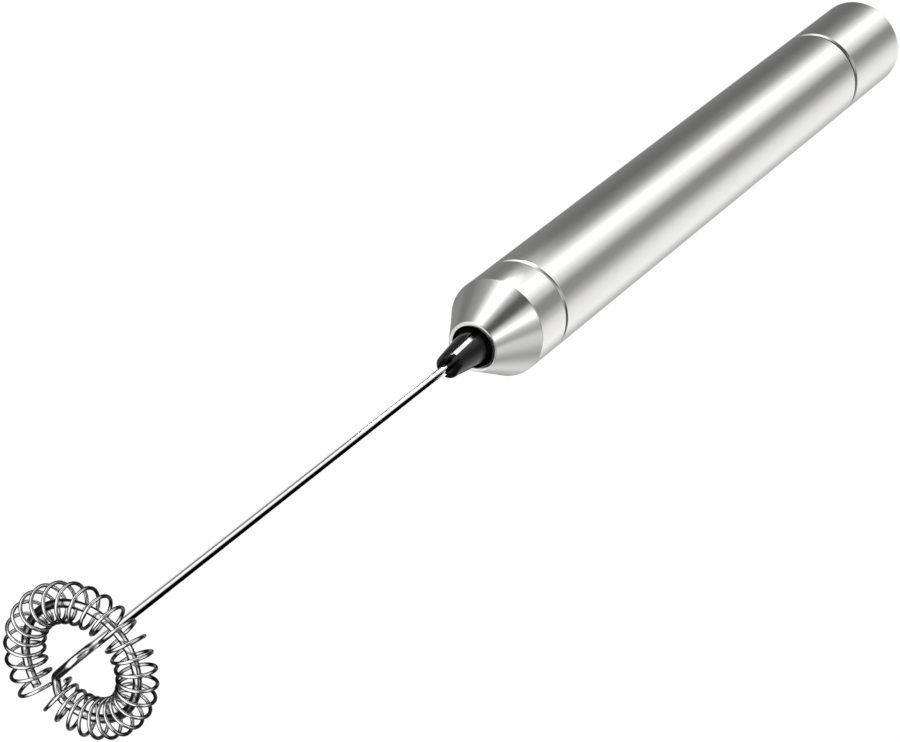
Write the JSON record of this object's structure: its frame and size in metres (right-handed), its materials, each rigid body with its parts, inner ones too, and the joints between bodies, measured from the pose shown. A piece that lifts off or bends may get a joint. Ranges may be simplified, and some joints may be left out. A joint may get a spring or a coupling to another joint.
{
  "type": "battery milk frother",
  "caption": "Slim battery milk frother: straight steel handle with a conical nose, tapered black collet, and a long wire ending in a coil spring wound round a ring.",
  "frame": {"origin": "centre of the flat end of the tail cap, on which the frother stands", "axes": "+Z along the axis of the handle and the whisk, from the tail cap to the whisk; the whisk's radial arm points 80 degrees from +X towards +Y"},
  "size_m": [0.024, 0.0249, 0.2642],
  "materials": {
    "steel_brushed": "satin, turned",
    "steel_wire": "polished wire",
    "black_plastic": "gloss moulding",
    "button_plastic": "fine matt moulding",
    "natural_plastic": "natural nylon",
    "rubber": "soft",
    "brass": "turned",
    "bronze": "sintered, oiled",
    "copper": "drawn",
    "nickel_strip": "nickel plated strip",
    "nickel_plate": "nickel plated",
    "core_steel": "stacked sheets",
    "magnet": "sintered ferrite",
    "cell_jacket": "printed film over steel"
  },
  "bodies": {
    "handle": {"handle_tube": "steel_brushed", "nose_cone": "steel_brushed", "threaded_neck": "brass", "battery_sleeve": "natural_plastic", "return_strip": "nickel_strip", "battery_rear": "cell_jacket", "battery_front": "cell_jacket", "positive_contact": "nickel_strip", "contact_carrier": "natural_plastic", "motor_holder": "natural_plastic", "motor_can": "nickel_plate", "motor_end_bell": "black_plastic", "front_bush": "bronze", "rear_bush": "bronze", "motor_magnets": "magnet", "motor_brushes": "copper", "motor_terminals": "copper", "motor_damper": "rubber"},
    "whisk": {"collet": "black_plastic", "whisk_wire": "steel_wire", "whisk_coil": "steel_wire", "motor_shaft": "nickel_plate", "armature_core": "core_steel", "armature_windings": "copper", "commutator": "copper"},
    "cap_washer": {"cap_seal": "rubber"},
    "tail_cap": {"end_cap": "steel_brushed", "switch_cup": "natural_plastic", "ground_ring": "brass", "spring_holder": "natural_plastic", "spring_seat": "brass", "battery_spring": "nickel_plate", "button_spring": "nickel_plate"},
    "button": {"push_button": "button_plastic", "contact_disc": "brass"}
  },
  "joints": [
    {"name": "whisk_spin", "type": "hinge", "parent": "handle", "child": "whisk", "pos_m": [0, 0, 0.15], "axis": [0, 0, 1], "continuous": true},
    {"name": "cap_lift", "type": "slide", "parent": "handle", "child": "cap_washer", "axis": [0, 0, -1], "range_m": [0, 0.008]},
    {"name": "cap_turn", "type": "hinge", "parent": "cap_washer", "child": "tail_cap", "pos_m": [0, 0, 0.01], "axis": [0, 0, -1], "range_deg": [0, 1440]},
    {"name": "button_press", "type": "slide", "parent": "tail_cap", "child": "button", "axis": [0, 0, 1], "range_m": [0, 0.0015], "stiffness_N_per_m": 400, "springref_m": -0.002, "deforming": ["button_spring"]}
  ],
  "couplings": [
    {"joint": "cap_lift", "follows": "cap_turn", "m_per_rad": 0.00031831}
  ]
}
